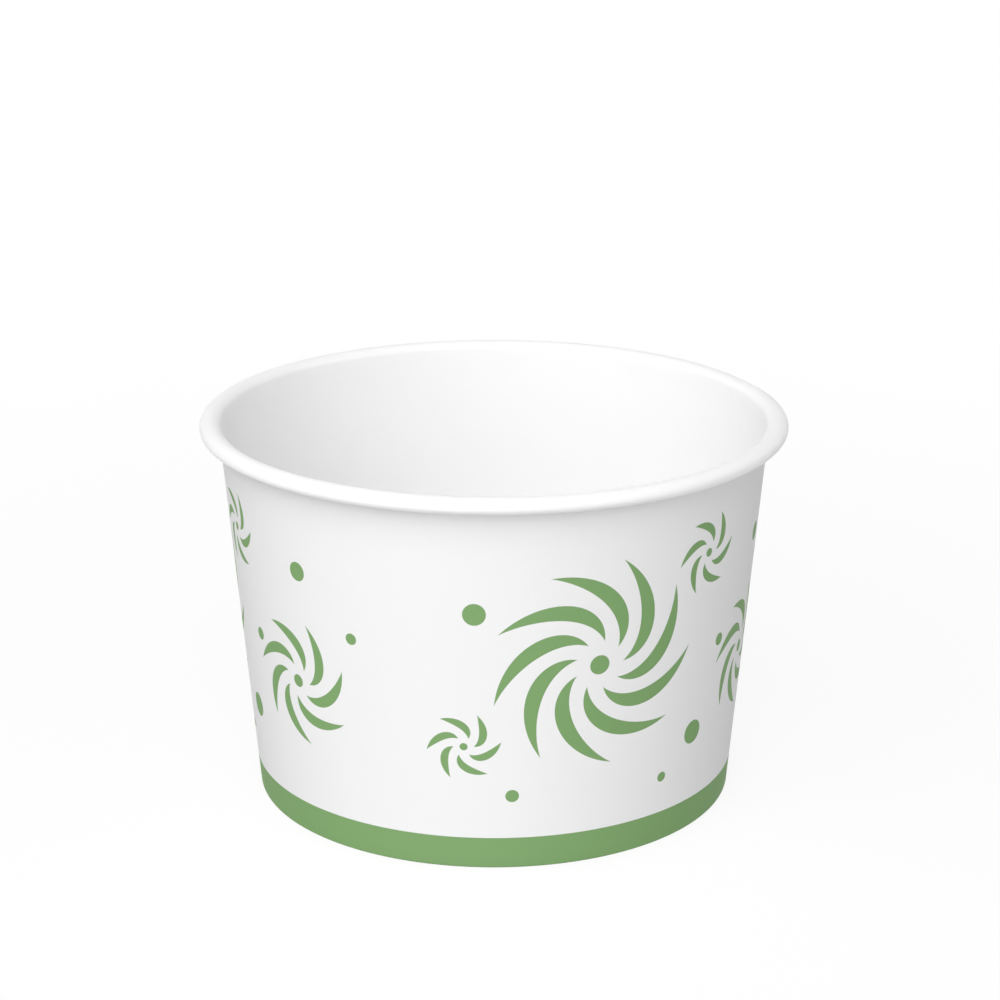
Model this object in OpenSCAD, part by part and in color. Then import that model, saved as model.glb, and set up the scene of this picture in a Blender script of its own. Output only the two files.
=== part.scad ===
// Paper sundae cup: a tapered board wall, rolled to a bead at the rim and folded into a hem at the
// foot, and a flanged base disc held in that hem. Millimetres, +Z up, origin at the foot's centre.
// The front of the cup faces -Y.

/* [Cup] */
// Outer diameter over the rolled rim
rim_d = 90; // [82:1:110]
// Outer diameter of the wall at the foot
foot_d = 74; // [60:1:80]
// Overall height, from the table to the top of the rim
cup_h = 59.35; // [45:0.05:90]

/* [Board] */
// Thickness of the wall's board
wall_t = 0.4; // [0.3:0.01:0.5]
// Thickness of the base's board
base_t = 0.4; // [0.3:0.01:0.5]
// Sealed film between the base's flange and the plies that hold it
seal_film = 0.02; // [0.01:0.01:0.05]

/* [Rolled rim] */
// Width of the bead, across
bead_w = 3.3; // [3:0.1:4.2]
// Height of the bead
bead_h = 2.5; // [2.3:0.1:3.2]
// Radius of the bead's round ends, outside
bead_end_r = 1; // [0.9:0.05:1.1]
// Where the tucked end leaves the bead's underside, in degrees from straight out
tuck_start = -100; // [-108:1:-92]
// Where the tucked end stops inside the bead, in degrees from straight out
tuck_end = -200; // [-215:1:-180]
// Gap between the tucked end and the wall
tuck_gap = 0.1; // [0.05:0.01:0.15]

/* [Foot] */
// Depth of the recess under the base
recess_h = 6.2; // [4:0.1:10]
// Gap between the hem's raw edge and the underside of the base
hem_gap = 0.8; // [0.8:0.1:2]
// Radius of the fold's corners on the table
fold_r = 0.45; // [0.3:0.01:0.55]
// Inside radius of the bend between the base disc and its flange
bend_r = 0.5; // [0.3:0.05:0.8]
// Height of the flange's lower edge above the table
flange_z = 0.7; // [0.6:0.05:1.2]

/* [Side seam] */
// Direction of the outer ply's cut edge, counted from +X
seam_at = 8; // [0:1:360]
// Angle over which the two plies are sealed together
lap_deg = 11; // [6:1:16]
// Angle over which the outer ply comes down to a single thickness
ramp_deg = 30; // [20:1:40]
// Distance between the base disc and the lower end of the inner ply's step
step_clear = 0.6; // [0.3:0.1:2]

/* [Hidden] */
$fn = 144;
bend_step = 10;

foot_r = foot_d / 2;
rim_r = rim_d / 2;

// Bead section: an oval of two end arcs and two flatter arcs, each tangent to the next
bead_rx = bead_w / 2;
bead_rz = bead_h / 2;
bead_x = rim_r - bead_rx;
bead_z = cup_h - bead_rz;
end_dx = bead_rx - bead_end_r;
end_dz = bead_rz - bead_end_r;
flat_dz = (end_dx * end_dx - end_dz * end_dz) / (2 * end_dz);
flat_r = bead_rz + flat_dz;
joint_a = atan2(flat_dz, end_dx);
inner_end = [bead_x - end_dx, bead_z];
outer_end = [bead_x + end_dx, bead_z];
crown_centre = [bead_x, bead_z - flat_dz];
under_centre = [bead_x, bead_z + flat_dz];

// The wall leans so that its outer face is tangent to the inside of the bead's inner end
end_r = bead_end_r - wall_t;
run = inner_end - [foot_r, 0];
lean = atan2(run[0], run[1]) - asin(end_r / norm(run));
inward = [-cos(lean), sin(lean)];

// Tucked end of the curl, which leaves the underside and clears the wall's outer face
tuck_r = (flat_r * cos(tuck_start) + end_dx + end_r - tuck_gap) / (1 + cos(tuck_start));
tuck_centre = under_centre + (flat_r - tuck_r) * [cos(tuck_start), sin(tuck_start)];

// Depths of the plies at the foot, counted inwards from the wall's outer face
flange_depth = wall_t + seal_film;
hem_depth = flange_depth + base_t + seal_film;
foot_depth = hem_depth + wall_t;
hem_h = recess_h - hem_gap;

// The outer ply turns about a shifted axis, which brings it from one board's thickness proud at its
// cut edge to flush at the end of the ramp. It runs on a little way inside the wall.
mid_r = foot_r + cup_h / 2 * tan(lean);
ply_deg = lap_deg + ramp_deg;
ply_shift = (2 * mid_r * wall_t + wall_t * wall_t) / (2 * mid_r * (1 - cos(ply_deg)) + 2 * wall_t);
run_on = 3;
lap_top_z = bead_z - bead_rz + wall_t * 0.75;
step_z = recess_h + base_t + step_clear;

// A point on a line parallel to the wall's outer face, a depth inside it, at a height
function at(depth, z) = [foot_r - depth / cos(lean) + z * tan(lean), z];

// The points of an arc after its first one
function arc(centre, r, from, to) =
    let(steps = ceil(abs(to - from) / bend_step))
    [for (i = [1:steps]) let(a = from + (to - from) * i / steps) centre + r * [cos(a), sin(a)]];

// An angle about the cup's axis, counted from the cut edge, as the same angle about the shifted axis
function shifted(a) = atan2(mid_r * sin(a), mid_r * cos(a) - ply_shift);

// The same points from last to first
function reversed(points) = [for (i = [len(points) - 1:-1:0]) points[i]];

// One face of the board along the curl, from the wall over the bead and into the tucked end
function curl(inset) = concat(
    [inner_end + (bead_end_r - inset) * inward],
    arc(inner_end, bead_end_r - inset, 180 - lean, 180 - joint_a),
    arc(crown_centre, flat_r - inset, 180 - joint_a, 90),
    arc(crown_centre, flat_r - inset, 90, joint_a),
    arc(outer_end, bead_end_r - inset, joint_a, -joint_a),
    arc(under_centre, flat_r - inset, -joint_a, tuck_start),
    arc(tuck_centre, tuck_r - inset, tuck_start, tuck_end)
);

// Section of the blank: up the outer face, round the curl and back, down the inner face and up the hem
module wall_section() {
    outer_fold = [at(fold_r, fold_r)[0], fold_r];
    inner_fold = [at(foot_depth - fold_r, fold_r)[0], fold_r];
    hem = [at(wall_t, wall_t), at(hem_depth, wall_t), at(hem_depth, hem_h), at(foot_depth, hem_h)];
    polygon(concat(
        arc(outer_fold, fold_r, -90, -lean),
        curl(wall_t),
        reversed(curl(0)),
        hem,
        [inner_fold + fold_r * inward],
        arc(inner_fold, fold_r, 180 - lean, 270),
        [outer_fold - [0, fold_r]]
    ));
}

// Section of the base: along its top, down the flange and back underneath
module base_section() {
    bend = at(flange_depth + base_t + bend_r, recess_h - bend_r);
    polygon(concat(
        [[0, recess_h], [0, recess_h + base_t], bend + [0, bend_r + base_t]],
        arc(bend, bend_r + base_t, 90, -lean),
        [at(flange_depth, flange_z), at(flange_depth + base_t, flange_z), bend - bend_r * inward],
        arc(bend, bend_r, -lean, 90)
    ));
}

// Section of a straight board that leans with the wall
module leaning_board(depth, t, z_from, z_to) {
    polygon([at(depth, z_from), at(depth, z_to), at(depth + t, z_to), at(depth + t, z_from)]);
}

// A layer along the outer ply, from an angle on, that starts a depth inside the ply's outer face
module outer_ply(from, depth, t, z_from, z_to) {
    rotate([0, 0, seam_at])
        translate([ply_shift, 0, 0])
            rotate([0, 0, shifted(from)])
                rotate_extrude(angle = shifted(ply_deg) + run_on - shifted(from))
                    translate([wall_t - ply_shift, 0])
                        leaning_board(depth, t, z_from, z_to);
}

// The wall's blank, rolled into a cone. The seam is a lap of two plies, with a ramp beside it where the
// outer ply comes down to one board's thickness, and a step inside where the inner ply ends.
module side_wall() {
    color("white")
        difference() {
            union() {
                rotate_extrude() wall_section();
                difference() {
                    outer_ply(0, 0, 2 * wall_t, fold_r, lap_top_z);
                    rotate_extrude() leaning_board(wall_t / 2, 3 * wall_t, 0, cup_h);
                }
            }
            outer_ply(lap_deg, wall_t, 2 * wall_t, step_z, lap_top_z);
        }
}

// The base: a flat disc whose edge is turned down into a flange
module base_disc() {
    color("whitesmoke")
        rotate_extrude() base_section();
}

side_wall();
base_disc();
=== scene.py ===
"""The finish of the paper sundae cup: its board, its print and its seam, in a pale studio.

The wall is a printed blank of board, rolled up by a node tree: its two plies lap at the side seam, its
foot is folded into a knurled hem and its lip is curled into a bead. The base is a pressed disc with a
pleated edge. Lengths of the pieces, the print and the board are millimetres, and those of the studio
are metres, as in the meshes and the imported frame. Angles are degrees where nothing else is said.
"""

import logging
import math
from dataclasses import dataclass, field
from enum import Enum

import bpy
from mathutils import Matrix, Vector

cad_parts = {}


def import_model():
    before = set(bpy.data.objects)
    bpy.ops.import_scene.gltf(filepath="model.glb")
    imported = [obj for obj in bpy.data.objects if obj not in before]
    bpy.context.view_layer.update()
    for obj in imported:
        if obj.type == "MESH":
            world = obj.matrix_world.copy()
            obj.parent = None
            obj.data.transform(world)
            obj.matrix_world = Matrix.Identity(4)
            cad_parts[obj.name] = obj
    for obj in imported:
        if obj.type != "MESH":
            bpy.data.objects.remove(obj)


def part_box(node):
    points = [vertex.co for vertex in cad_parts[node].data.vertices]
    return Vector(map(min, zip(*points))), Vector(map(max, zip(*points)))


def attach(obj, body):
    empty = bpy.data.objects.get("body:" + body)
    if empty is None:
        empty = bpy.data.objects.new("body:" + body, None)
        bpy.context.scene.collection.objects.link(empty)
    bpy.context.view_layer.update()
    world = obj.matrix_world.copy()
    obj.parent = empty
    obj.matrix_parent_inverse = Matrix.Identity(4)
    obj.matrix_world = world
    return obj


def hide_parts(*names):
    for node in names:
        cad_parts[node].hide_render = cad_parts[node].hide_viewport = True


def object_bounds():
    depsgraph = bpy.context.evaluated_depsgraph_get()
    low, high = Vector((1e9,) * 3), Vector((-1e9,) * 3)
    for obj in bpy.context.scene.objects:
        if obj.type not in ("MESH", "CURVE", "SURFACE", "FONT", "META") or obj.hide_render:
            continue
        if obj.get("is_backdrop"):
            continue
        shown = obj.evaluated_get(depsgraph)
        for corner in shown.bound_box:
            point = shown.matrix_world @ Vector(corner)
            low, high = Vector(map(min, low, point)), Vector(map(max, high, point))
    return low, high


log = logging.getLogger("sundae_cup")

MM = 0.001
FULL_TURN = 2 * math.pi
WHITE = (1.0, 1.0, 1.0, 1.0)

Point = tuple[float, float]
Span = tuple[float, float]
Colour = tuple[float, float, float]


class Face(Enum):
    """The sides of a piece of board, with the names of their finishes."""

    PRINTED = "printed_face"
    FOOD = "food_face"
    CUT = "cut_edge"


# Node trees

class Field:
    """A number or vector that a node tree works out, written with the signs of arithmetic."""

    def __init__(self, graph: "Graph", socket: bpy.types.NodeSocket) -> None:
        """Wraps the output socket of a node in a graph."""
        self.graph = graph
        self.socket = socket

    def __add__(self, other: "Term") -> "Field":
        """This plus other."""
        return self.graph.math("ADD", self, other)

    def __sub__(self, other: "Term") -> "Field":
        """This minus other."""
        return self.graph.math("SUBTRACT", self, other)

    def __rsub__(self, other: "Term") -> "Field":
        """Other minus this."""
        return self.graph.math("SUBTRACT", other, self)

    def __mul__(self, other: "Term") -> "Field":
        """This times other."""
        return self.graph.math("MULTIPLY", self, other)

    def __truediv__(self, other: "Term") -> "Field":
        """This divided by other."""
        return self.graph.math("DIVIDE", self, other)

    __radd__ = __add__

    def at_most(self, other: "Term") -> "Field":
        """The smaller of this and other."""
        return self.graph.math("MINIMUM", self, other)

    def at_least(self, other: "Term") -> "Field":
        """The larger of this and other."""
        return self.graph.math("MAXIMUM", self, other)

    def cosine(self) -> "Field":
        """The cosine of this angle, which is in radians."""
        return self.graph.math("COSINE", self)

    def sine(self) -> "Field":
        """The sine of this angle, which is in radians."""
        return self.graph.math("SINE", self)

    def size(self) -> "Field":
        """This number without its sign."""
        return self.graph.math("ABSOLUTE", self)

    def wrapped(self, low: float, high: float) -> "Field":
        """This number, brought into a range by whole steps of the range's width."""
        return self.graph.math("WRAP", self, high, low)

    def eased(self, low: "Term", high: "Term") -> "Field":
        """0 where this is below low and 1 where it is above high, with a smooth way between."""
        return self.graph.map_range(self, low, high)


Term = Field | float


class Graph:
    """Writes nodes into a node tree, a call for each."""

    def __init__(self, tree: bpy.types.NodeTree) -> None:
        """Starts on a tree, which keeps the nodes that it has."""
        self.tree = tree

    def node(self, kind: str, **settings: object) -> bpy.types.Node:
        """Adds a node.

        Args:
            kind: Blender's name for the type of node.
            settings: Properties of the node by name.

        Returns:
            The new node.
        """
        made = self.tree.nodes.new(kind)
        for name, value in settings.items():
            setattr(made, name, value)
        return made

    def put(self, socket: bpy.types.NodeSocket, value: object) -> None:
        """Feeds an input socket from a field, or sets its own value.

        Args:
            socket: The input.
            value: A field to link to it, or a plain value.
        """
        if isinstance(value, Field):
            self.tree.links.new(value.socket, socket)
        else:
            socket.default_value = value

    def out(self, node: bpy.types.Node, name: str | int = 0) -> Field:
        """An output of a node, by name or place, as a field."""
        return Field(self, node.outputs[name])

    def call(self, kind: str, inputs: dict, output: str | int = 0, **settings: object) -> Field:
        """Adds a node, feeds its inputs and gives one of its outputs.

        Args:
            kind: Blender's name for the type of node.
            inputs: Values or fields by the input's name or place.
            output: Name or place of the output.
            settings: Properties of the node by name.

        Returns:
            That output as a field.
        """
        made = self.node(kind, **settings)
        for name, value in inputs.items():
            self.put(made.inputs[name], value)
        return self.out(made, output)

    def math(self, operation: str, *terms: Term) -> Field:
        """One operation on numbers."""
        return self.call("ShaderNodeMath", dict(enumerate(terms)), operation=operation)

    def hypot(self, first: Field, second: Term) -> Field:
        """The long side of a right triangle with two short sides."""
        return self.math("SQRT", first * first + second * second)

    def bearing(self, x: Field, y: Field) -> Field:
        """The direction of a place, in radians from the x axis."""
        return self.math("ARCTAN2", y, x)

    def compare(self, operation: str, first: Field, second: float) -> Field:
        """Whether a comparison of two numbers holds."""
        return self.call("FunctionNodeCompare", {0: first, 1: second}, operation=operation)

    def summed(self, first: Field, second: Field) -> Field:
        """The sum of two vectors."""
        return self.call("ShaderNodeVectorMath", {0: first, 1: second}, operation="ADD")

    def scaled(self, vector: Field, scale: Term) -> Field:
        """A vector times a number."""
        inputs = {0: vector, "Scale": scale}
        return self.call("ShaderNodeVectorMath", inputs, operation="SCALE")

    def length(self, vector: Field) -> Field:
        """The length of a vector."""
        return self.call("ShaderNodeVectorMath", {0: vector}, "Value", operation="LENGTH")

    def joined(self, x: Term, y: Term, z: Term) -> Field:
        """A vector from three numbers."""
        return self.call("ShaderNodeCombineXYZ", {0: x, 1: y, 2: z})

    def split(self, vector: Field) -> tuple[Field, Field, Field]:
        """Takes a vector apart.

        Args:
            vector: The vector.

        Returns:
            Its three numbers.
        """
        made = self.node("ShaderNodeSeparateXYZ")
        self.put(made.inputs[0], vector)
        return self.out(made, 0), self.out(made, 1), self.out(made, 2)

    def map_range(self, value: Term, low: Term, high: Term, start: Term = 0.0, end: Term = 1.0) -> Field:
        """A smooth way from start, where value is low, to end, where it is high."""
        inputs = {"Value": value, "From Min": low, "From Max": high, "To Min": start, "To Max": end}
        return self.call("ShaderNodeMapRange", inputs, interpolation_type="SMOOTHSTEP")

    def mixed(self, share: Term, first: Term, second: Term) -> Field:
        """The first number where share is 0 and the second where it is 1."""
        inputs = {"Factor": share, "A": first, "B": second}
        return self.call("ShaderNodeMix", inputs, "Result", data_type="FLOAT")

    def mixed_colours(self, share: Field, first: Field, second: Field) -> Field:
        """Mixes two colours.

        Args:
            share: How much of the second colour there is, from 0 to 1.
            first: The first colour.
            second: The second colour.

        Returns:
            The mixed colour.
        """
        # The mix node has sockets of the same names for each kind, and those for colours lie here
        share_at, first_at, second_at, result_at = 0, 6, 7, 2
        inputs = {share_at: share, first_at: first, second_at: second}
        return self.call("ShaderNodeMix", inputs, result_at, data_type="RGBA")

    def give(self, kind: str, result: Field) -> None:
        """Adds an output node of a kind and feeds it the tree's result."""
        self.put(self.node(kind).inputs[0], result)


def fresh_graph(owner: bpy.types.Material | bpy.types.World) -> Graph:
    """Empties the node tree of a material or a world.

    Args:
        owner: The material or the world.

    Returns:
        The graph of the empty tree.
    """
    owner.use_nodes = True
    owner.node_tree.nodes.clear()
    return Graph(owner.node_tree)


class SectionReader:
    """Reads the rows of a section inside a node tree."""

    def __init__(self, g: Graph, section: Field, row: Field) -> None:
        """Starts on a row of a section.

        Args:
            g: The tree's graph.
            section: The section's points.
            row: The number of a row, which is rounded.
        """
        self.g = g
        self.section = section
        self.index = g.call("FunctionNodeFloatToInt", {0: row}, rounding_mode="ROUND")

    def sample(self, value: Field, kind: str) -> Field:
        """A number or vector of the section's points, read at the row."""
        inputs = {"Geometry": self.section, "Value": value, "Index": self.index}
        return self.g.call("GeometryNodeSampleIndex", inputs, data_type=kind)

    def place(self) -> Field:
        """Where the row lies."""
        return self.sample(self.g.call("GeometryNodeInputPosition", {}), "FLOAT_VECTOR")

    def held(self, name: str, kind: str = "FLOAT") -> Field:
        """The number or vector that the row holds under a name."""
        value = self.g.call("GeometryNodeInputNamedAttribute", {"Name": name}, data_type=kind)
        return self.sample(value, kind)


class PieceTree:
    """A geometry node tree that makes a finished piece from the rows of its section."""

    def __init__(self, name: str, kinds: dict[str, str]) -> None:
        """Starts a tree with named inputs.

        Args:
            name: Name of the tree.
            kinds: The kind of each input, such as Float or Material, by the input's name.
        """
        self.tree = bpy.data.node_groups.new(name, "GeometryNodeTree")
        sockets = self.tree.interface
        self.identifiers = {
            label: sockets.new_socket(label, in_out="INPUT", socket_type=f"NodeSocket{kind}").identifier
            for label, kind in kinds.items()
        }
        sockets.new_socket("Piece", in_out="OUTPUT", socket_type="NodeSocketGeometry")
        self.graph = Graph(self.tree)
        given = self.graph.node("NodeGroupInput")
        self.take = {label: self.graph.out(given, label) for label in kinds}

    def shaped(self, form: Field, reader: SectionReader, offset: Field, angle: Field) -> Field:
        """Turns the section about the cup's axis, by moving the points of a plain form.

        Args:
            form: The plain form.
            reader: The section, read at each point's row.
            offset: How far a point lies off its row, in the direction that the row faces.
            angle: The point's angle about the axis, in radians.

        Returns:
            The form in its new shape, in which no point lies below the table.
        """
        g = self.graph
        off_row = g.scaled(reader.held("facing", "FLOAT_VECTOR"), offset)
        radius, _, height = g.split(g.summed(reader.place(), off_row))
        place = g.joined(radius * angle.cosine(), radius * angle.sine(), height.at_least(0.0))
        moved = g.call("GeometryNodeSetPosition", {"Geometry": form, "Position": place})
        return g.call("GeometryNodeRealizeInstances", {0: moved})

    def bake(self, made: bpy.types.Object, values: dict[str, object]) -> None:
        """Runs the tree on an object and keeps its result as a plain mesh.

        Args:
            made: The object. Its mesh is the section that the tree reads, and the result replaces it.
            values: The values of the tree's inputs, by name.
        """
        modifier = made.modifiers.new(self.tree.name, "NODES")
        modifier.node_group = self.tree
        for label, value in values.items():
            modifier[self.identifiers[label]] = value
        bpy.context.view_layer.update()
        evaluated = made.evaluated_get(bpy.context.evaluated_depsgraph_get())
        mesh = bpy.data.meshes.new_from_object(evaluated)
        mesh.name = made.name
        # The section has no finish of its own, which can leave an empty slot before the real ones
        if mesh.materials[0] is None:
            mesh.materials.pop(index=0)
        made.modifiers.clear()
        section = made.data
        made.data = mesh
        bpy.data.meshes.remove(section)


# Sections of the board

@dataclass(frozen=True)
class Row:
    """A line round the cup, on the wall's food face or on the closed outline of the base.

    Args:
        place: Its radius and height.
        facing: Its direction through the board to the printed face, or out of the base's board, counted
            from straight out.
        proud: How far the outer ply of the seam stands proud there, from 0 to 1.
        stepped: How much of the outer ply's offset its food face follows there, from 0 to 1.
        worked: How deep the face is knurled or pleated there, from 0 to 1, or below 0 where it is pushed
            out from behind.
    """

    place: Point
    facing: float
    proud: float = 0.0
    stepped: float = 0.0
    worked: float = 0.0


def in_mm(metres: float) -> float:
    """A length of the frame in millimetres, without the rounding error of its file."""
    return round(metres / MM, 3)


def polar(centre: Point, radius: float, degrees: float) -> Point:
    """The point at a radius and an angle about a centre."""
    angle = math.radians(degrees)
    return centre[0] + radius * math.cos(angle), centre[1] + radius * math.sin(angle)


def steps_between(start: float, end: float, step: float) -> list[float]:
    """Divides a range evenly.

    Args:
        start: Where it starts.
        end: Where it ends, which may be below the start.
        step: The longest step allowed, give or take a rounding error.

    Returns:
        The ends of the steps, with the start and the end.
    """
    rounding = 1e-9
    count = max(1, math.ceil(abs(end - start) / step - rounding))
    return [start + (end - start) * i / count for i in range(count + 1)]


def ease(value: float, low: float, high: float) -> float:
    """0 below low and 1 above high, with a smooth way between."""
    share = min(1.0, max(0.0, (value - low) / (high - low)))
    return share * share * (3 - 2 * share)


def section_object(name: str, rows: list[Row]) -> bpy.types.Object:
    """Makes the mesh of loose points that a node tree reads a section from.

    Args:
        name: Name of the object, which takes the finished piece's mesh in the end.
        rows: The section, in order.

    Returns:
        The object, with the rows' numbers as attributes of its points.
    """
    mesh = bpy.data.meshes.new(name)
    mesh.from_pydata([(row.place[0] * MM, 0.0, row.place[1] * MM) for row in rows], [], [])
    facing = mesh.attributes.new("facing", "FLOAT_VECTOR", "POINT")
    for item, row in zip(facing.data, rows):
        across, up = polar((0.0, 0.0), 1.0, row.facing)
        item.vector = (across, 0.0, up)
    for number in ("proud", "stepped", "worked"):
        values = [getattr(row, number) for row in rows]
        mesh.attributes.new(number, "FLOAT", "POINT").data.foreach_set("value", values)
    made = bpy.data.objects.new(name, mesh)
    bpy.context.scene.collection.objects.link(made)
    return made


@dataclass
class CupSection:
    """Sizes of the cup's section, which both pieces share. Depths count inwards from the printed face.

    Args:
        rim_radius: Radius over the bead.
        height: Height of the bead's top.
        base_top: Height of the base's upper face.
        flange_end: Height of the lower edge of the base's flange.
        foot_radius: Radius of the printed face, carried down to the table.
        wall_board: Thickness of the wall's board.
        base_board: Thickness of the base's board.
        film: Thickness of the seal on either side of the flange.
        hem_gap: Gap between the hem's raw edge and the base.
        fold_radius: Outer radius of the fold's corners on the table.
        fold_fade: How upright the board is, from 0 to 1, where the seam starts to stand proud and where
            it does so fully. On the table it is pressed flat.
        bead_width: Width of the bead.
        bead_height: Height of the bead.
        bead_end_radius: Radius of the bead's round ends, outside.
        tuck_start: Where the tucked end leaves the bead's underside, in degrees from straight out.
        tuck_end: Where the tucked end stops, in degrees from straight out.
        tuck_gap: Gap between the tucked end and the wall.
        bead_step: Most degrees between two rows of the bead.
        fold_step: Most degrees between two rows of the fold.
    """

    rim_radius: float
    height: float
    base_top: float
    flange_end: float
    foot_radius: float = 37.0
    wall_board: float = 0.4
    base_board: float = 0.4
    film: float = 0.02
    hem_gap: float = 0.8
    fold_radius: float = 0.45
    fold_fade: Span = (0.1, 0.95)
    bead_width: float = 3.3
    bead_height: float = 2.5
    bead_end_radius: float = 1.0
    tuck_start: float = -100.0
    tuck_end: float = -200.0
    tuck_gap: float = 0.04
    bead_step: float = 10.0
    fold_step: float = 15.0

    def __post_init__(self) -> None:
        """Works out the arcs of the bead, the lean of the wall and the depths at the foot."""
        half_width, half_height = self.bead_width / 2, self.bead_height / 2
        bead_x = self.rim_radius - half_width
        self.bead_z = self.height - half_height
        end_x, end_z = half_width - self.bead_end_radius, half_height - self.bead_end_radius
        flat = (end_x * end_x - end_z * end_z) / (2 * end_z)
        self.flat_radius = half_height + flat
        self.joint = math.degrees(math.atan2(flat, end_x))
        self.inner_end = (bead_x - end_x, self.bead_z)
        self.outer_end = (bead_x + end_x, self.bead_z)
        self.top_centre = (bead_x, self.bead_z - flat)
        self.under_centre = (bead_x, self.bead_z + flat)

        bend = self.bead_end_radius - self.wall_board
        run = self.inner_end[0] - self.foot_radius
        turn = math.asin(bend / math.hypot(run, self.bead_z))
        self.lean = math.degrees(math.atan2(run, self.bead_z) - turn)
        self.wall_top = polar(self.inner_end, self.bead_end_radius, 180 - self.lean)[1]

        cosine = math.cos(math.radians(self.tuck_start))
        reach = self.flat_radius * cosine + end_x + bend - self.tuck_gap
        self.tuck_radius = reach / (1 + cosine)
        inset = self.flat_radius - self.tuck_radius
        self.tuck_centre = polar(self.under_centre, inset, self.tuck_start)

        self.flange_depth = self.wall_board + self.film
        self.hem_depth = self.flange_depth + self.base_board + self.film
        self.base_underside = self.base_top - self.base_board
        self.hem_top = self.base_underside - self.hem_gap

    @classmethod
    def from_frame(cls) -> "CupSection":
        """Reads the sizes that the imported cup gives.

        Returns:
            The section with the cup's own rim, height, base and flange.
        """
        wall_low, wall_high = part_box("side_wall")
        base_low, base_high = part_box("base_disc")
        return cls(
            rim_radius=in_mm(wall_high.x - wall_low.x) / 2,
            height=in_mm(wall_high.z),
            base_top=in_mm(base_high.z),
            flange_end=in_mm(base_low.z),
        )

    def at(self, depth: float, z: float) -> Point:
        """The point a depth inside the wall's printed face, at a height."""
        lean = math.radians(self.lean)
        return self.foot_radius - depth / math.cos(lean) + z * math.tan(lean), z

    def fold_rows(self, depth: float, start: float, end: float) -> list[Row]:
        """One corner of the fold on the table.

        Args:
            depth: Depth of the corner's centre inside the wall's printed face.
            start: Direction through the board where the corner starts.
            end: That direction where it ends.

        Returns:
            The corner's rows, in which the seam is pressed flat towards the table.
        """
        centre = (self.at(depth, self.fold_radius)[0], self.fold_radius)
        inner = self.fold_radius - self.wall_board
        found = []
        for angle in steps_between(start, end, self.fold_step):
            upright = abs(math.cos(math.radians(angle)))
            proud = ease(upright, *self.fold_fade)
            found.append(Row(polar(centre, inner, angle), angle, proud=proud))
        return found

    def bead_rows(self, proud: float) -> list[Row]:
        """The bead and its tucked end, as one run of arcs.

        Args:
            proud: How far the outer ply stands proud in the pressed bead.

        Returns:
            The rows after the one where the wall ends.
        """
        end, flat, tuck = self.bead_end_radius, self.flat_radius, self.tuck_radius
        arcs = (
            (self.inner_end, end, 180 - self.lean, 180 - self.joint),
            (self.top_centre, flat, 180 - self.joint, 90),
            (self.top_centre, flat, 90, self.joint),
            (self.outer_end, end, self.joint, 0),
            (self.outer_end, end, 0, -self.joint),
            (self.under_centre, flat, -self.joint, self.tuck_start),
            (self.tuck_centre, tuck, self.tuck_start, self.tuck_end),
        )
        return [
            Row(polar(centre, radius, angle), angle + 180, proud=proud, stepped=proud)
            for centre, radius, start, stop in arcs
            for angle in steps_between(start, stop, self.bead_step)[1:]
        ]


# Pieces

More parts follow.
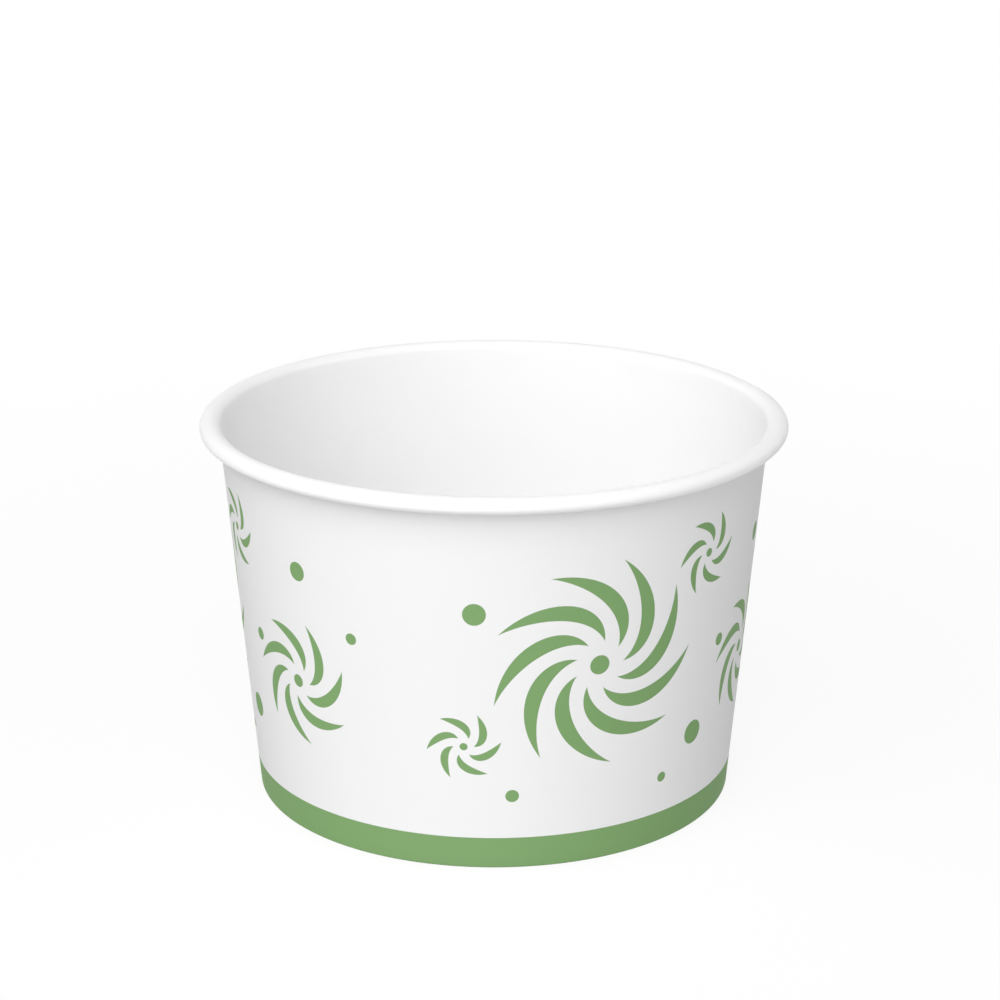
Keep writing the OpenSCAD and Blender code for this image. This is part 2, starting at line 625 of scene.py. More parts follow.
@dataclass
class SideWall:
    """The wall: a printed blank, rolled to a cone, lapped, hemmed at its foot and curled at its lip.

    Args:
        section: The cup's section.
        name: Name of the piece.
        seam_at: Direction of the outer ply's cut edge, counted from +X.
        lap: Angle over which the two plies lie on each other.
        ramp: Angle over which the outer ply comes down to one board's thickness.
        lap_in: Angle before the outer ply's cut edge over which the printed face sinks to pass under it.
        lap_out: Angle past the lap over which the outer ply's food face leaves the inner ply's height.
        glue: Thickness of the glue between the plies.
        columns: Number of strips round the blank.
        strips_per_rib: Number of strips to a rib of the knurled hem.
        knurl_depth: Depth of the knurling.
        knurl_from_edge: How far from the hem's raw edge the knurling starts, and where it is full.
        knurl_from_table: How high above the table it starts, and where it is full.
        pressed: Share of the outer ply's offset that is left in the bead, where the seam is pressed.
        squeeze: Heights from the bead's middle between which the outer ply is pressed in.
        step_relief: Heights from the bead's middle between which the step inside is pressed in.
        step_rise: Heights above the base between which that step comes up.
        hem_spacing: Most height between two rows of the hem.
        foot_spacing: The same between the fold and the base.
        step_spacing: The same where the step inside comes up.
        wall_spacing: The same on the plain wall.
        neck_spacing: The same below the bead, where the seam is pressed in.
        step_rows: Heights above the base of the first and last row with step_spacing.
        neck_rows: Heights from the bead's middle of the last row of the plain wall and the first below
            the bead.
    """

    section: CupSection
    name: str = "rolled_side_wall"
    seam_at: float = 8.0
    lap: float = 11.0
    ramp: float = 30.0
    lap_in: float = 8.0
    lap_out: float = 3.0
    glue: float = 0.005
    columns: int = 412
    strips_per_rib: int = 4
    knurl_depth: float = 0.18
    knurl_from_edge: Span = (0.2, 0.9)
    knurl_from_table: Span = (0.9, 1.7)
    pressed: float = 0.2
    squeeze: Span = (-2.9, -0.9)
    step_relief: Span = (-16.1, -0.5)
    step_rise: Span = (0.3, 2.2)
    hem_spacing: float = 0.42
    foot_spacing: float = 2.1
    step_spacing: float = 0.4
    wall_spacing: float = 4.6
    neck_spacing: float = 0.31
    step_rows: Span = (0.4, 2.4)
    neck_rows: Span = (-3.5, -3.1)

    def rows(self) -> list[Row]:
        """Lays out the section.

        Returns:
            Its rows from the hem's raw edge, round the fold, up the wall and round the bead.
        """
        s = self.section
        inwards, outwards = 180 - s.lean, 360 - s.lean
        found = []
        for z in steps_between(s.hem_top, s.fold_radius, self.hem_spacing)[:-1]:
            worked = ease(s.hem_top - z, *self.knurl_from_edge) * ease(z, *self.knurl_from_table)
            found.append(Row(s.at(s.hem_depth, z), inwards, proud=1.0, worked=worked))
        found += s.fold_rows(s.hem_depth + s.wall_board - s.fold_radius, inwards, 270)
        found += s.fold_rows(s.fold_radius, 270, outwards)
        for z in self.heights():
            to_bead = z - s.bead_z
            proud = self.left_by(ease(to_bead, *self.squeeze))
            rise = ease(z - s.base_top, *self.step_rise)
            stepped = self.left_by(ease(to_bead, *self.step_relief)) * rise
            found.append(Row(s.at(s.wall_board, z), outwards, proud=proud, stepped=stepped))
        return found + s.bead_rows(self.pressed)

    def heights(self) -> list[float]:
        """Lays out the rows up the wall.

        Returns:
            Their heights, which lie closer where the seam's steps come and go.
        """
        s = self.section
        step_start, step_end = (s.base_top + above for above in self.step_rows)
        plain_end, neck_start = (s.bead_z + above for above in self.neck_rows)
        return [
            *steps_between(s.fold_radius, s.base_top, self.foot_spacing)[1:],
            *steps_between(step_start, step_end, self.step_spacing),
            *steps_between(step_end, plain_end, self.wall_spacing)[1:],
            *steps_between(neck_start, s.wall_top, self.neck_spacing),
        ]

    def left_by(self, pressing: float) -> float:
        """The share of the outer ply's offset that a pressing from 0 to 1 leaves."""
        return 1 - (1 - self.pressed) * pressing

    def tree(self) -> PieceTree:
        """Builds the node tree that rolls the blank round the section.

        Returns:
            The tree, whose angles are radians and whose lengths are metres.
        """
        lengths_and_angles = ("Board", "Glue", "Seam", "Lap", "Ply", "Lap in", "Lap out", "Knurl depth")
        made = PieceTree("roll_the_blank", {
            "Section": "Geometry",
            "Columns": "Int",
            "Strips per rib": "Float",
            **{label: "Float" for label in lengths_and_angles},
            **{face.value: "Material" for face in Face},
        })
        g, take = made.graph, made.take

        # The flat blank is a cube with sides of 1 about the origin: strips along x and rows along y
        half = 0.5
        count = g.call("GeometryNodeAttributeDomainSize", {0: take["Section"]}, "Point Count")
        flat = g.node("GeometryNodeMeshCube")
        g.put(flat.inputs["Vertices X"], take["Columns"] + 1)
        g.put(flat.inputs["Vertices Y"], count)
        blank = self.sharp_at_cuts(g, g.out(flat, "Mesh"))
        blank, side = self.with_sides(g, blank)
        across, along, through = g.split(g.call("GeometryNodeInputPosition", {}))
        share = across + half
        reader = SectionReader(g, take["Section"], (along + half) * (count - 1))
        turned = share * (take["Lap"] + FULL_TURN)
        printed, food = self.offsets(g, take, share, turned, reader)
        offset = g.mixed(through + half, food, printed)
        piece = made.shaped(blank, reader, offset, turned + take["Seam"])

        _, _, side_up = g.split(side)
        piece = g.call("GeometryNodeSetMaterial", {"Geometry": piece, "Material": take[Face.CUT.value]})
        chosen = {
            Face.PRINTED: g.compare("GREATER_THAN", side_up, half),
            Face.FOOD: g.compare("LESS_THAN", side_up, -half),
        }
        for face, where in chosen.items():
            inputs = {"Geometry": piece, "Selection": where, "Material": take[face.value]}
            piece = g.call("GeometryNodeSetMaterial", inputs)
        g.give("NodeGroupOutput", piece)
        return made

    def sharp_at_cuts(self, g: Graph, blank: Field) -> Field:
        """Shades the flat blank smoothly, with the right angles at its cut edges kept sharp.

        Args:
            g: The graph.
            blank: The flat blank.

        Returns:
            The blank with its shading.
        """
        edge = g.call("GeometryNodeInputMeshEdgeAngle", {}, "Unsigned Angle")
        cut = g.compare("GREATER_THAN", edge, math.pi / 4)
        smooth = {"Geometry": blank, "Shade Smooth": True}
        blank = g.call("GeometryNodeSetShadeSmooth", smooth, domain="FACE")
        sharp = {"Geometry": blank, "Selection": cut, "Shade Smooth": False}
        return g.call("GeometryNodeSetShadeSmooth", sharp, domain="EDGE")

    def with_sides(self, g: Graph, blank: Field) -> tuple[Field, Field]:
        """Keeps the directions of the flat blank's faces for later.

        Args:
            g: The graph.
            blank: The flat blank.

        Returns:
            The blank, and the directions of its faces as they are now.
        """
        made = g.node("GeometryNodeCaptureAttribute", domain="FACE")
        made.capture_items.new("VECTOR", "side")
        g.put(made.inputs["Geometry"], blank)
        g.put(made.inputs["side"], g.call("GeometryNodeInputNormal", {}))
        return g.out(made, "Geometry"), g.out(made, "side")

    def offsets(self, g: Graph, take: dict[str, Field], share: Field, turned: Field,
                reader: SectionReader) -> tuple[Field, Field]:
        """Works out where the blank's two faces lie along a row.

        Args:
            g: The graph.
            take: The tree's inputs.
            share: How far along the blank a place is, from 0 to 1.
            turned: Angle from the outer ply's cut edge, in radians.
            reader: The section, read at the row.

        Returns:
            The offsets of the printed and of the food face from the section.
        """
        proud, stepped, worked = (reader.held(name) for name in ("proud", "stepped", "worked"))
        board, ply, lap = take["Board"], take["Ply"], take["Lap"]
        pressed = (1 - proud) * board / 2

        def lift(angle: Field) -> Field:
            """How far the outer ply stands out, which fades over the ramp as on a shifted circle."""
            end = ply.cosine()
            return board * (angle.at_most(ply).cosine() - end) / (1 - end)

        past_turn = (turned - FULL_TURN).at_least(0.0)
        under = proud * lift(past_turn) + pressed - take["Glue"]
        over = proud * lift(turned) + pressed
        going_under = turned.eased(FULL_TURN - take["Lap in"], FULL_TURN)
        printed = g.mixed(going_under, board + proud * lift(turned), under)
        rib = (share * take["Columns"] / take["Strips per rib"] * FULL_TURN).cosine()
        printed = printed - (1 - rib) / 2 * worked * take["Knurl depth"]
        past_lap = turned.eased(lap, lap + take["Lap out"])
        food = g.mixed(past_lap, over, stepped * lift(turned))
        return printed, food

    def build(self, finishes: dict[Face, bpy.types.Material]) -> bpy.types.Object:
        """Rolls the blank and puts it in the place of the plain wall.

        Args:
            finishes: The finish of each side of the board.

        Returns:
            The finished wall.
        """
        made = section_object(self.name, self.rows())
        self.tree().bake(made, {
            "Columns": self.columns,
            "Strips per rib": float(self.strips_per_rib),
            "Board": self.section.wall_board * MM,
            "Glue": self.glue * MM,
            "Seam": math.radians(self.seam_at),
            "Lap": math.radians(self.lap),
            "Ply": math.radians(self.lap + self.ramp),
            "Lap in": math.radians(self.lap_in),
            "Lap out": math.radians(self.lap_out),
            "Knurl depth": self.knurl_depth * MM,
            **{face.value: finishes[face] for face in Face},
        })
        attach(made, "root")
        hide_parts("side_wall")
        log.info("%s: %d faces", made.name, len(made.data.polygons))
        return made


@dataclass
class BaseDisc:
    """The base: a disc of board whose edge is pressed down into a flange, with fine pleats at the bend.

    Args:
        section: The cup's section.
        name: Name of the piece.
        bend_radius: Inside radius of the bend between the disc and its flange.
        bend_step: Most degrees between two rows of the bend.
        flange_spacing: Most height between two rows of the flange.
        dome: How much higher the middle of the disc is than its edge.
        rings: Number of rings of faces on either side of the disc.
        columns: Number of faces round the disc.
        pleat_depth: Depth of the deepest pleat.
        pleats: How close the pleats are: about how many of their waves there are to a radian.
        pleat_noise: Levels of the noise between which a pleat deepens.
        seed: Where in the noise the pleats are looked up, which is the same on every run.
        pleats_above: Angle of the bend at which the pleats are full, where they fade out downwards.
        pleats_below: Degrees from the disc at which they are full, where they fade out upwards.
    """

    section: CupSection
    name: str = "pressed_base_disc"
    bend_radius: float = 0.5
    bend_step: float = 11.0
    flange_spacing: float = 1.3
    dome: float = 0.12
    rings: int = 9
    columns: int = 384
    pleat_depth: float = 0.05
    pleats: float = 13.0
    pleat_noise: Span = (0.48, 0.68)
    seed: float = 0.0
    pleats_above: float = 20.0
    pleats_below: float = 25.0

    def rows(self) -> list[Row]:
        """Lays out the section.

        Returns:
            Its rows from the middle of the top, round the flange, to the middle of the underside.
        """
        s, board, lean = self.section, self.section.base_board, self.section.lean
        depth, bend_z = s.flange_depth, s.base_underside - self.bend_radius
        bend = s.at(depth + board + self.bend_radius, bend_z)
        top = self.disc_rows(bend[0], s.base_top, 90)
        under = self.disc_rows(bend[0], s.base_underside, 270)
        outer_bend = [
            Row(polar(bend, self.bend_radius + board, angle), angle, worked=self.pleated(angle))
            for angle in steps_between(90, -lean, self.bend_step)[1:]
        ]
        heights = steps_between(outer_bend[-1].place[1], s.flange_end, self.flange_spacing)[1:]
        outside = [Row(s.at(depth, z), -lean) for z in heights]
        inside = [Row(s.at(depth + board, z), 180 - lean) for z in reversed([bend_z, *heights])]
        inner_bend = [
            Row(polar(bend, self.bend_radius, angle), angle + 180, worked=-self.pleated(angle))
            for angle in steps_between(-lean, 90, self.bend_step)[1:]
        ]
        return [*top, *outer_bend, *outside, *inside, *inner_bend, *reversed(under[:-1])]

    def disc_rows(self, edge: float, height: float, facing: float) -> list[Row]:
        """Lays out one face of the disc, which is pressed up towards its middle.

        Args:
            edge: Radius at which the bend starts.
            height: Height of the face there.
            facing: Direction out of the board, counted from straight out.

        Returns:
            The face's rows from its middle to its edge.
        """
        found = []
        for radius in steps_between(0, edge, edge / self.rings):
            raised = height + self.dome * ease(edge - radius, 0, edge)
            found.append(Row((radius, raised), facing))
        return found

    def pleated(self, angle: float) -> float:
        """How deep the pleats are at an angle of the bend. They fade out towards both its ends."""
        from_flange = ease(angle, -self.section.lean, self.pleats_above)
        return from_flange * ease(90 - angle, 0, self.pleats_below)

    def tree(self) -> PieceTree:
        """Builds the node tree that turns the section about the axis and presses the pleats.

        Returns:
            The tree, whose lengths are metres.
        """
        made = PieceTree("press_the_base", {
            "Section": "Geometry",
            "Columns": "Int",
            "Rings": "Int",
            "Pleat depth": "Float",
            "Pleats": "Float",
            "Seed": "Float",
            "Board": "Material",
        })
        g, take = made.graph, made.take

        # The round form is a cylinder about the origin with a radius and a height of 1. Its rows are
        # counted as the section's: from the middle of the top, down the side and in again underneath.
        half = 0.5
        count = g.call("GeometryNodeAttributeDomainSize", {0: take["Section"]}, "Point Count")
        sides = count - 1 - take["Rings"] * 2
        round_form = g.call("GeometryNodeMeshCylinder", {
            "Vertices": take["Columns"],
            "Side Segments": sides,
            "Fill Segments": take["Rings"],
            "Radius": 1.0,
            "Depth": 1.0,
        }, "Mesh", fill_type="TRIANGLE_FAN")
        smooth = g.call("GeometryNodeSetShadeSmooth", {"Geometry": round_form, "Shade Smooth": True})
        x, y, z = g.split(g.call("GeometryNodeInputPosition", {}))
        out = g.hypot(x, y)
        down = half - z
        row = out * take["Rings"] + down * (sides + take["Rings"] * 2 * (1 - out))
        reader = SectionReader(g, take["Section"], row)

        angle = g.bearing(x, y)
        spot = g.scaled(g.joined(angle.cosine(), angle.sine(), take["Seed"]), take["Pleats"])
        waves = g.call("ShaderNodeTexNoise", {"Vector": spot, "Scale": 1.0, "Detail": 1.0})
        press = waves.eased(*self.pleat_noise) * take["Pleat depth"] * reader.held("worked")
        piece = made.shaped(smooth, reader, 0 - press, angle)
        piece = g.call("GeometryNodeSetMaterial", {"Geometry": piece, "Material": take["Board"]})
        g.give("NodeGroupOutput", piece)
        return made

    def build(self, finish: bpy.types.Material) -> bpy.types.Object:
        """Presses the disc and puts it in the place of the plain base.

        Args:
            finish: The finish of the board.

        Returns:
            The finished base.
        """
        made = section_object(self.name, self.rows())
        self.tree().bake(made, {
            "Columns": self.columns,
            "Rings": self.rings,
            "Pleat depth": self.pleat_depth * MM,
            "Pleats": self.pleats,
            "Seed": self.seed,
            "Board": finish,
        })
        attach(made, "root")
        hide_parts("base_disc")
        log.info("%s: %d faces", made.name, len(made.data.polygons))
        return made


# Print

@dataclass(frozen=True)
class Whirl:
    """A pinwheel of curved strokes, tapered at both ends, with a dot in its middle.

    Args:
        at: Angle of its centre from the start of the print's repeat.
        height: Height of its centre.
        radius: Radius at which its strokes end.
        hub: Radius at which they start.
        strokes: Number of strokes.
        turn: Angle by which a stroke bends round on its way out.
        stroke: Half the width of a stroke at its widest.
    """

    at: float
    height: float
    radius: float
    hub: float
    strokes: int
    turn: float
    stroke: float


@dataclass(frozen=True)
class Dot:
    """A round dot, placed as a whirl is."""

    at: float
    height: float
    radius: float


@dataclass(frozen=True)
class WallPlace:
    """A place on the wall, as a material works it out.

    Args:
        across: Angle from the start of the print's repeat, in radians.
        radius: Distance from the cup's axis.
        height: Height above the table.
        lean: The wall's lean.
    """

    across: Field
    radius: Field
    height: Field
    lean: float


@dataclass(frozen=True)
class Print:
    """The print on the wall: a plain band at the foot, and whirls and dots that repeat round the cup.

    Args:
        band: Height of the band's upper edge.
        bleed: Height to which the ink reaches round the fold, on the inside of the hem.
        repeats: How many times the whirls and dots repeat.
        first: Direction of the start of a repeat, counted from +X.
        edge: Half the width of the soft edge of the ink.
        middle: Radius of the dot in a whirl's middle, as a share of its hub.
        whirls: The whirls of one repeat.
        dots: The dots of one repeat.
    """

    band: float = 5.07
    bleed: float = 2.0
    repeats: int = 3
    first: float = -106.5
    edge: float = 0.04
    middle: float = 0.42
    whirls: tuple[Whirl, ...] = (
        Whirl(at=39.0, height=32.0, radius=16.5, hub=3.6, strokes=9, turn=80.0, stroke=1.25),
        Whirl(at=89.0, height=25.5, radius=10.2, hub=2.4, strokes=7, turn=75.0, stroke=0.95),
        Whirl(at=66.5, height=45.5, radius=6.4, hub=1.6, strokes=6, turn=70.0, stroke=0.7),
        Whirl(at=10.0, height=20.0, radius=5.6, hub=1.4, strokes=6, turn=70.0, stroke=0.65),
    )
    dots: tuple[Dot, ...] = (
        Dot(at=12.5, height=41.0, radius=1.7),
        Dot(at=67.0, height=16.5, radius=1.9),
        Dot(at=74.5, height=30.0, radius=1.0),
        Dot(at=92.0, height=43.5, radius=1.5),
        Dot(at=105.5, height=35.0, radius=0.9),
        Dot(at=57.5, height=11.0, radius=0.8),
        Dot(at=20.5, height=12.0, radius=1.0),
    )

    def mask(self, g: Graph, section: CupSection, spot: Field) -> Field:
        """Works out where the ink lies.

        Args:
            g: The material's graph.
            section: The cup's section, which gives the wall's lean and the depth of the hem.
            spot: The place on the wall.

        Returns:
            1 where the ink lies and 0 where the board is bare.
        """
        x, y, height = g.split(spot)
        radius = g.hypot(x, y)
        slope = math.tan(math.radians(section.lean))
        depth = section.foot_radius + height * slope - radius
        band_top = g.mixed(depth.eased(section.wall_board, section.hem_depth), self.band, self.bleed)
        ink = self.inked(band_top - height)
        period = FULL_TURN / self.repeats
        across = (g.bearing(x, y) - math.radians(self.first)).wrapped(0.0, period)
        place = WallPlace(across, radius, height, section.lean)
        for whirl in self.whirls:
            ink = ink.at_least(self.whirl_mask(g, whirl, place))
        for dot in self.dots:
            away = g.hypot(*self.from_centre(dot, place))
            ink = ink.at_least(self.inked(dot.radius - away))
        return ink

    def inked(self, inside: Field) -> Field:
        """1 where a place lies inside an outline by some distance, and 0 outside, with a soft edge."""
        return inside.eased(-self.edge, self.edge)

    def from_centre(self, motif: Whirl | Dot, place: WallPlace) -> tuple[Field, Field]:
        """Measures how far a place is from a motif's centre.

        Args:
            motif: The motif.
            place: The place on the wall.

        Returns:
            Its distances from the centre, along the wall and up it.
        """
        half = math.pi / self.repeats
        along = (place.across - math.radians(motif.at)).wrapped(-half, half) * place.radius
        return along, (place.height - motif.height) / math.cos(math.radians(place.lean))

    def whirl_mask(self, g: Graph, whirl: Whirl, place: WallPlace) -> Field:
        """The ink of one whirl.

        Args:
            g: The material's graph.
            whirl: Its sizes.
            place: The place on the wall.

        Returns:
            1 on its strokes and its middle, and 0 off them.
        """
        along, up = self.from_centre(whirl, place)
        away = g.hypot(along, up)
        length = whirl.radius - whirl.hub
        share = ((away - whirl.hub) / length).at_least(0.0).at_most(1.0)
        turn = math.radians(whirl.turn)
        half = math.pi / whirl.strokes
        round_whirl = (g.bearing(along, up) - share * turn).wrapped(-half, half).size() * away
        # A stroke runs outwards at a slant, so the way across it is shorter than the way round the whirl
        across_stroke = round_whirl / g.hypot(away * (turn / length), 1.0)
        width = (share * math.pi).sine() * whirl.stroke - self.edge
        middle = whirl.hub * self.middle
        return self.inked(width - across_stroke).at_least(self.inked(middle - away))


# Finishes

def noise(g: Graph, place: Field, size: float, detail: float) -> Field:
    """Adds soft patches.

    Args:
        g: The graph.
        place: Where the patches are looked up.
        size: About how large they are, in the place's own units.
        detail: How many finer layers they have.

    Returns:
        Noise from 0 to 1.
    """
    finer_share = 0.55
    inputs = {"Vector": place, "Scale": 1 / size, "Detail": detail, "Roughness": finer_share}
    return g.call("ShaderNodeTexNoise", inputs)


@dataclass(frozen=True)
class Surface:
    """What a finish is like at a place.

    Args:
        colour: Its colour.
        rough: Its roughness.
        height: Height of its relief, between about 0 and 1.
    """

    colour: Field
    rough: Term
    height: Field


@dataclass(frozen=True)
class Board:
    """Coated cup board: white, with a faint cloudiness of its fibres and a fine relief.

    Args:
        face: The side of the board that it finishes.
        white: Colour of the face.
        rough: Roughness of the face.
        cloud: How much the fibres' cloudiness darkens it.
        relief: Height of the fibres' relief.
        gloss: Specular level of the face.
        coat: Refractive index of the coating.
        broad_clouds: Size of the broad clouds.
        fine_clouds: Size of the fine ones.
        cloud_detail: How many finer layers of noise they have.
        waves: Size of the relief's waves.
        grain: Size of the relief's grain.
        grain_share: Height of the grain, as a share of the waves'.
        relief_detail: How many finer layers of noise the relief has.
        fibre_levels: Levels of the fine clouds between which the roughness goes from low to high.
        rough_spread: How far those two lie from the roughness itself.
    """

    face: Face
    white: Colour
    rough: float
    cloud: float = 0.022
    relief: float = 0.006
    gloss: float = 0.45
    coat: float = 1.5
    broad_clouds: float = 7.0
    fine_clouds: float = 0.55
    cloud_detail: float = 4.0
    waves: float = 2.4
    grain: float = 0.22
    grain_share: float = 0.35
    relief_detail: float = 2.0
    fibre_levels: Span = (0.3, 0.7)
    rough_spread: Span = (-0.03, 0.04)

    def clouds(self, g: Graph, place: Field) -> tuple[Field, Field]:
        """The fibres' cloudiness, broad and fine."""
        broad = noise(g, place, self.broad_clouds, self.cloud_detail)
        return broad, noise(g, place, self.fine_clouds, self.cloud_detail)

    def shade(self, g: Graph, colour: Colour, broad: Field, fine: Field) -> Field:
        """A colour, darkened a little where the board's fibres lie denser."""
        amount = 1 - (broad + fine) / 2 * self.cloud
        return g.scaled(g.joined(*colour), amount)

    def roughness(self, g: Graph, fine: Field) -> Field:
        """The roughness of the face, which goes with its fine clouds."""
        low, high = (self.rough + spread for spread in self.rough_spread)
        return g.map_range(fine, *self.fibre_levels, low, high)

    def fibres(self, g: Graph, place: Field) -> Field:
        """The heights of a coated board's relief: a fine grain on longer waves."""
        grain = noise(g, place, self.grain, self.relief_detail)
        return grain * self.grain_share + noise(g, place, self.waves, self.relief_detail)

    def surface(self, g: Graph, place: Field) -> Surface:
        """Works out the face.

        Args:
            g: The material's graph.
            place: The place on the board.

        Returns:
            The face, as its fibres make it.
        """
        broad, fine = self.clouds(g, place)
        colour = self.shade(g, self.white, broad, fine)
        return Surface(colour, self.roughness(g, fine), self.fibres(g, place))

    def material(self) -> bpy.types.Material:
        """Builds the finish from its surface.

        Returns:
            The material.
        """
        made = bpy.data.materials.new(self.face.value)
        g = fresh_graph(made)
        # The coordinates are metres, and the print and the board have their sizes in millimetres
        place = g.scaled(g.call("ShaderNodeTexCoord", {}, "Object"), 1 / MM)
        surface = self.surface(g, place)
        relief = {"Height": surface.height, "Distance": self.relief * MM, "Strength": 1.0}
        shader = g.call("ShaderNodeBsdfPrincipled", {
            "Base Color": surface.colour,
            "Roughness": surface.rough,
            "IOR": self.coat,
            "Specular IOR Level": self.gloss,
            "Normal": g.call("ShaderNodeBump", relief, "Normal"),
        })
        g.give("ShaderNodeOutputMaterial", shader)
        return made


@dataclass(frozen=True)
class PrintedBoard(Board):
    """Coated board with ink on it.

    Args:
        section: The cup's section.
        ink: Colour of the ink.
        ink_rough: Roughness of the ink.
        artwork: What is printed.
    """

    section: CupSection = field(kw_only=True)
    ink: Colour = (0.208, 0.364, 0.147)
    ink_rough: float = 0.6
    artwork: Print = field(default_factory=Print)

    def surface(self, g: Graph, place: Field) -> Surface:
        """Works out the printed face.

        Args:
            g: The material's graph.
            place: The place on the wall.

        Returns:
            The bare board with the ink on it.
        """
        broad, fine = self.clouds(g, place)
        inked = self.artwork.mask(g, self.section, place)
        bare, ink = (self.shade(g, colour, broad, fine) for colour in (self.white, self.ink))
        rough = g.mixed(inked, self.roughness(g, fine), self.ink_rough)
        return Surface(g.mixed_colours(inked, bare, ink), rough, self.fibres(g, place))


@dataclass(frozen=True)
class CutBoard(Board):
    """The raw edge of a board, whose layers of fibres show as fine lines along it.

    Args:
        layer: Thickness of a layer of fibres.
        wander: How fast a line changes up the wall, in patches of noise to a millimetre.
        specks: Size of the specks between the lines.
        speck_detail: How many finer layers of noise the specks have.
    """

    layer: float = 0.07
    wander: float = 0.8
    specks: float = 0.3
    speck_detail: float = 3.0

    def surface(self, g: Graph, place: Field) -> Surface:
        """Works out the cut edge.

        Args:
            g: The material's graph.
            place: The place on the edge.

        Returns:
            The edge with the lines of its layers.
        """
        x, y, z = g.split(place)
        layers = g.joined(g.hypot(x, y) / self.layer, z * self.wander, 0.0)
        line = noise(g, layers, 1.0, self.relief_detail)
        specks = noise(g, place, self.specks, self.speck_detail)
        return Surface(self.shade(g, self.white, line, specks), self.rough, line)


def board_finishes(section: CupSection) -> dict[Face, bpy.types.Material]:
    """Makes the finish of each side of the board.

    Args:
        section: The cup's section, which the print follows.

    Returns:
        The materials by side.
    """
    boards = (
        PrintedBoard(Face.PRINTED, white=(0.86, 0.86, 0.86), rough=0.58, gloss=0.12, section=section),
        # Painted light: the food face is whiter than the printed face's bare board, which stands in for
        # the brighter light that falls inside the cup
        Board(Face.FOOD, white=(0.93, 0.93, 0.93), rough=0.42),
        CutBoard(Face.CUT, white=(0.84, 0.81, 0.75), rough=0.85, cloud=0.12, relief=0.02),
    )
    return {board.face: board.material() for board in boards}


# Studio

@dataclass(frozen=True)
class Lamp:
    """A soft square lamp that looks at the cup.

    Args:
        name: Its name.
        azimuth: Its direction, in degrees to the right of straight in front.
        elevation: Its height above the floor, in degrees.
        distance: How far it is from the cup.
        side: Length of its side.
        watts: Its power.
    """

    name: str
    azimuth: float
    elevation: float
    distance: float
    side: float
    watts: float

    def build(self, target: Vector) -> None:
        """Hangs the lamp.

        Args:
            target: The point that it looks at.
        """
        data = bpy.data.lights.new(self.name, "AREA")
        data.shape, data.size, data.energy = "SQUARE", self.side, self.watts
        made = bpy.data.objects.new(self.name, data)
        azimuth, elevation = math.radians(self.azimuth), math.radians(self.elevation)
        level, up = math.cos(elevation), math.sin(elevation)
        away = Vector((math.sin(azimuth) * level, -math.cos(azimuth) * level, up))
        made.location = target + away * self.distance
        made.rotation_euler = away.to_track_quat("Z", "Y").to_euler()
        made.visible_camera = False
        bpy.context.scene.collection.objects.link(made)


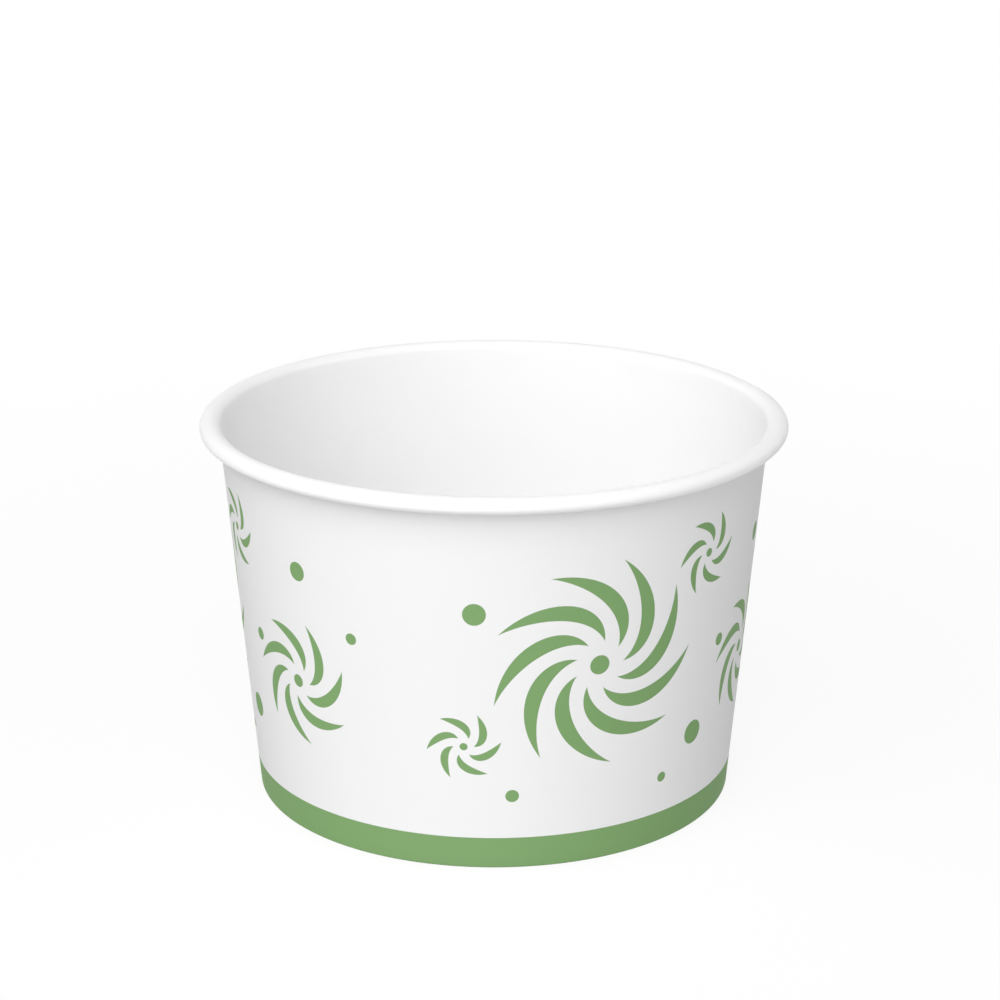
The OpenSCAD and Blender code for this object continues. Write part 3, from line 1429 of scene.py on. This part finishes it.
@dataclass
class Studio:
    """A pale floor, soft light and the camera, at the photograph's angle.

    Args:
        lens: Focal length of the camera, in its own millimetres.
        camera_at: Where the camera stands.
        pitch: How far it looks down.
        shift: How far its picture is moved to the side, as a share of the picture.
        nearest: The nearest distance that it sees.
        sky: Strength of the light from above the horizon.
        glow: Strength of the light from below it.
        horizon: Half the height of the band in which one passes into the other.
        floor_radius: Radius of the floor.
        floor_step: Degrees between two corners of the floor.
        floor_white: Colour of the floor.
        backdrop_share: Share of plain white in the floor by the cup, where the rest takes its shadow.
        fade: Distances from the cup between which the floor becomes plain white.
        aim: Height of the point that the lamps look at.
        lamps: The lamps.
    """

    lens: float = 98.88
    camera_at: tuple[float, float, float] = (0.0, -0.40518, 0.17551)
    pitch: float = 17.85
    shift: float = 0.00608
    nearest: float = 0.01
    sky: float = 0.4
    glow: float = 0.12
    horizon: float = 0.05
    floor_radius: float = 4.0
    floor_step: float = 5.0
    floor_white: Colour = (0.97, 0.97, 0.97)
    backdrop_share: float = 0.88
    fade: Span = (0.08, 0.3)
    aim: float = 0.03
    lamps: tuple[Lamp, ...] = (
        Lamp("key", azimuth=-17.0, elevation=43.0, distance=1.1, side=0.95, watts=8.9),
        Lamp("front", azimuth=0.0, elevation=-8.0, distance=1.1, side=0.95, watts=1.5),
        Lamp("left", azimuth=-75.0, elevation=30.0, distance=1.1, side=0.95, watts=2.4),
        Lamp("right", azimuth=66.0, elevation=9.0, distance=1.1, side=0.95, watts=2.3),
        Lamp("side", azimuth=125.0, elevation=-15.0, distance=1.1, side=0.6, watts=1.1),
        Lamp("rear", azimuth=180.0, elevation=-28.0, distance=1.1, side=0.6, watts=5.0),
        Lamp("bounce", azimuth=-17.0, elevation=-50.0, distance=1.1, side=0.6, watts=4.5),
    )

    def build(self) -> None:
        """Sets up the whole studio."""
        scene = bpy.context.scene
        scene.view_settings.view_transform = "Standard"
        self.build_camera(scene)
        self.build_sky(scene)
        self.build_floor(scene)
        for lamp in self.lamps:
            lamp.build(Vector((0.0, 0.0, self.aim)))

    def build_camera(self, scene: bpy.types.Scene) -> None:
        """Puts the camera where the photograph was taken from.

        Args:
            scene: The scene that it belongs to.
        """
        data = bpy.data.cameras.new("camera")
        data.lens, data.shift_x, data.clip_start = self.lens, self.shift, self.nearest
        made = bpy.data.objects.new("camera", data)
        made.location = self.camera_at
        made.rotation_euler = (math.radians(90 - self.pitch), 0.0, 0.0)
        scene.collection.objects.link(made)
        scene.camera = made

    def seen_directly(self, g: Graph) -> Field:
        """Tells what is seen from what only gives light.

        Args:
            g: The graph.

        Returns:
            1 for what the camera sees straight, in a mirror or through glass, and 0 for the light itself.
        """
        path = g.node("ShaderNodeLightPath")
        seen = g.out(path, "Is Camera Ray").at_least(g.out(path, "Is Glossy Ray"))
        return seen.at_least(g.out(path, "Is Transmission Ray"))

    def build_sky(self, scene: bpy.types.Scene) -> None:
        """Gives a soft light from all round, behind a white backdrop.

        Args:
            scene: The scene whose world it is.
        """
        scene.world = scene.world or bpy.data.worlds.new("world")
        g = fresh_graph(scene.world)
        _, _, up = g.split(g.call("ShaderNodeTexCoord", {}, "Generated"))
        light = g.mixed(up.eased(-self.horizon, self.horizon), self.glow, self.sky)
        strength = g.mixed(self.seen_directly(g), light, 1.0)
        sky = g.call("ShaderNodeBackground", {"Color": WHITE, "Strength": strength})
        g.give("ShaderNodeOutputWorld", sky)

    def build_floor(self, scene: bpy.types.Scene) -> None:
        """Lays the floor, a pale disc that is seen from above only and keeps the cup's shadow.

        Args:
            scene: The scene that it belongs to.
        """
        mesh = bpy.data.meshes.new("floor")
        angles = steps_between(0, 360, self.floor_step)[:-1]
        corners = [polar((0.0, 0.0), self.floor_radius, angle) for angle in angles]
        mesh.from_pydata([(x, y, 0.0) for x, y in corners], [], [list(range(len(corners)))])
        floor = bpy.data.objects.new("floor", mesh)
        scene.collection.objects.link(floor)
        floor.data.materials.append(self.floor_paint())
        floor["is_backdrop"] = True

    def floor_paint(self) -> bpy.types.Material:
        """Makes the floor's finish.

        Returns:
            A material that is pale by the cup, plain white further out, and clear to the lamps below it.
        """
        paint = bpy.data.materials.new("pale_floor")
        g = fresh_graph(paint)
        lit = g.call("ShaderNodeBsdfDiffuse", {"Color": (*self.floor_white, 1.0)})
        white = g.call("ShaderNodeEmission", {"Color": WHITE, "Strength": 1.0})
        away = g.length(g.call("ShaderNodeTexCoord", {}, "Object"))
        share = self.seen_directly(g) * g.map_range(away, *self.fade, self.backdrop_share, 1.0)
        seen = g.call("ShaderNodeMixShader", {0: share, 1: lit, 2: white})
        path = g.node("ShaderNodeLightPath")
        through = g.call("ShaderNodeNewGeometry", {}, "Backfacing")
        for ray in ("Is Diffuse Ray", "Is Shadow Ray"):
            through = through.at_least(g.out(path, ray))
        clear = g.call("ShaderNodeBsdfTransparent", {})
        whole = g.call("ShaderNodeMixShader", {0: through, 1: seen, 2: clear})
        g.give("ShaderNodeOutputMaterial", whole)
        return paint


def main() -> None:
    """Builds the cup's pieces, then the studio, and notes the sizes of the frame and of the result."""
    logging.basicConfig(level=logging.INFO, format="%(name)s: %(message)s")
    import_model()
    frame_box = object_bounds()
    section = CupSection.from_frame()
    finishes = board_finishes(section)
    SideWall(section).build(finishes)
    BaseDisc(section).build(finishes[Face.FOOD])
    Studio().build()
    boxes = {"frame": frame_box, "visual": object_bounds()}
    for name, (low, high) in boxes.items():
        log.info("%s box: %s mm", name, [round((b - a) / MM, 2) for a, b in zip(low, high)])


if __name__ == "__main__":
    main()
